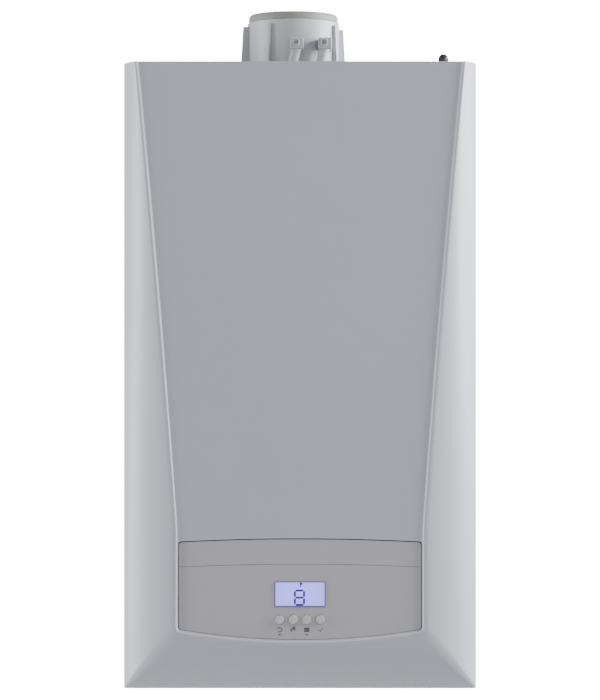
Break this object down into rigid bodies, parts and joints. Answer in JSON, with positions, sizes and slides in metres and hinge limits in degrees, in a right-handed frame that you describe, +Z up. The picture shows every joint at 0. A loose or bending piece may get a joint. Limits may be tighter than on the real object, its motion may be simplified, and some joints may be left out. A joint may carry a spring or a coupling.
{
  "type": "condensing boiler",
  "caption": "Wall-hung condensing boiler with a tapered moulded front cover, bowed control band, swing-down control box, finned flue adaptor and full inner works.",
  "frame": {"origin": "centre of the casing's flat wall face", "axes": "+Z up, +Y towards the wall, +X to the right seen from the front"},
  "size_m": [0.395, 0.2793, 0.7685],
  "materials": {
    "cover_coat": "satin silver-grey coat",
    "fascia_plastic": "fine satin silver plastic",
    "white_steel": "white powder coat",
    "zinc_sheet": "galvanised, light spangle",
    "flue_plastic": "translucent light grey moulding",
    "olive_seal": "matt olive-grey rubber",
    "white_plastic": "satin white moulding",
    "dark_plastic": "fine texture, dark grey",
    "black_plastic": "satin black",
    "display": "clear window over a lavender backlight",
    "button_plastic": "satin greige",
    "circuit_board": "green lacquer",
    "cast_aluminium": "as cast, slightly rough",
    "stainless": "brushed",
    "brass": "machined and cast",
    "copper": "drawn tube, slightly dulled",
    "ceramic": "glazed",
    "red_coat": "red gloss coat",
    "red_plastic": "satin",
    "blue_plastic": "satin",
    "foam": "closed-cell foam",
    "black_rubber": "matt hose rubber"
  },
  "bodies": {
    "chassis": {"chassis": "white_steel", "top_panel": "zinc_sheet", "bottom_panel": "zinc_sheet", "cover_seal": "foam", "flue_adaptor": "flue_plastic", "flue_gasket": "foam", "flue_lip_seal": "olive_seal", "flue_pipe": "white_plastic", "heat_exchanger_shell": "cast_aluminium", "heat_exchanger_coil": "stainless", "burner_door": "cast_aluminium", "burner_tube": "stainless", "spark_electrode": "ceramic", "flame_sensor": "ceramic", "exchanger_frame": "zinc_sheet", "fan_volute": "cast_aluminium", "fan_motor": "black_plastic", "gas_air_mixer": "cast_aluminium", "air_intake_tube": "dark_plastic", "mixture_duct": "cast_aluminium", "gas_valve": "cast_aluminium", "gas_feed_pipe": "stainless", "heating_flow_pipe": "copper", "hot_water_pipe": "copper", "gas_supply_pipe": "copper", "cold_water_pipe": "copper", "heating_return_pipe": "copper", "plate_heat_exchanger": "stainless", "diverter_valve_body": "brass", "diverter_actuator": "white_plastic", "pump_housing": "black_plastic", "pump_motor": "cast_aluminium", "pressure_gauge": "black_plastic", "exchanger_flow_pipe": "copper", "exchanger_return_pipe": "copper", "condensate_trap": "white_plastic", "condensate_hose": "black_rubber", "expansion_vessel": "red_coat", "expansion_hose": "black_rubber", "air_vent": "brass"},
    "front_cover": {"front_cover": "cover_coat"},
    "control_box": {"fascia_strip": "fascia_plastic", "control_fascia": "fascia_plastic", "display_window": "display", "control_box_shell": "dark_plastic", "control_box_rear_lid": "dark_plastic", "control_board": "circuit_board"},
    "button_1": {"button_1": "button_plastic"},
    "button_2": {"button_2": "button_plastic"},
    "button_3": {"button_3": "button_plastic"},
    "button_4": {"button_4": "button_plastic"},
    "flue_test_plug": {"flue_test_plug": "flue_plastic"},
    "air_test_plug": {"air_test_plug": "flue_plastic"},
    "fan_impeller": {"fan_impeller": "dark_plastic"},
    "pump_impeller": {"pump_impeller": "white_plastic"},
    "diverter_spindle": {"diverter_spindle": "stainless"},
    "relief_valve_knob": {"relief_valve_knob": "red_plastic"},
    "filling_valve_knob": {"filling_valve_knob": "blue_plastic"},
    "gauge_needle": {"gauge_needle": "red_plastic"},
    "air_vent_cap": {"air_vent_cap": "black_plastic"}
  },
  "joints": [
    {"name": "front_cover_slide", "type": "slide", "parent": "chassis", "child": "front_cover", "axis": [0, -1, 0], "range_m": [0, 0.42]},
    {"name": "control_box_hinge", "type": "hinge", "parent": "chassis", "child": "control_box", "pos_m": [0, -0.262, -0.3], "axis": [1, 0, 0], "range_deg": [0, 75]},
    {"name": "button_1_press", "type": "slide", "parent": "control_box", "child": "button_1", "axis": [0, 1, 0], "range_m": [0, 0.001], "stiffness_N_per_m": 400},
    {"name": "button_2_press", "type": "slide", "parent": "control_box", "child": "button_2", "axis": [0, 1, 0], "range_m": [0, 0.001], "stiffness_N_per_m": 400},
    {"name": "button_3_press", "type": "slide", "parent": "control_box", "child": "button_3", "axis": [0, 1, 0], "range_m": [0, 0.001], "stiffness_N_per_m": 400},
    {"name": "button_4_press", "type": "slide", "parent": "control_box", "child": "button_4", "axis": [0, 1, 0], "range_m": [0, 0.001], "stiffness_N_per_m": 400},
    {"name": "flue_test_plug_pull", "type": "slide", "parent": "chassis", "child": "flue_test_plug", "axis": [0, -1, 0], "range_m": [0, 0.03]},
    {"name": "air_test_plug_pull", "type": "slide", "parent": "chassis", "child": "air_test_plug", "axis": [0, -1, 0], "range_m": [0, 0.03]},
    {"name": "fan_spin", "type": "hinge", "parent": "chassis", "child": "fan_impeller", "pos_m": [-0.03, -0.227, -0.002], "axis": [0, 1, 0], "continuous": true},
    {"name": "pump_spin", "type": "hinge", "parent": "chassis", "child": "pump_impeller", "pos_m": [0.13, -0.095, -0.244], "axis": [0, 1, 0], "continuous": true},
    {"name": "diverter_stroke", "type": "slide", "parent": "chassis", "child": "diverter_spindle", "axis": [0, 0, 1], "range_m": [0, 0.008]},
    {"name": "relief_valve_turn", "type": "hinge", "parent": "chassis", "child": "relief_valve_knob", "pos_m": [0.177, -0.165, -0.266], "axis": [0, -1, 0], "range_deg": [0, 90]},
    {"name": "filling_valve_turn", "type": "hinge", "parent": "chassis", "child": "filling_valve_knob", "pos_m": [0.065, -0.148, -0.337], "axis": [0, 0, -1], "range_deg": [0, 270]},
    {"name": "gauge_needle_turn", "type": "hinge", "parent": "chassis", "child": "gauge_needle", "pos_m": [-0.097, -0.168, -0.3355], "axis": [0, 0, -1], "range_deg": [0, 240]},
    {"name": "air_vent_cap_turn", "type": "hinge", "parent": "chassis", "child": "air_vent_cap", "pos_m": [0.164, -0.18, 0.36], "axis": [0, 0, 1], "range_deg": [0, 180]}
  ],
  "couplings": [
    {"joint": "control_box_hinge", "follows": "front_cover_slide", "rad_per_m": 3.11}
  ]
}
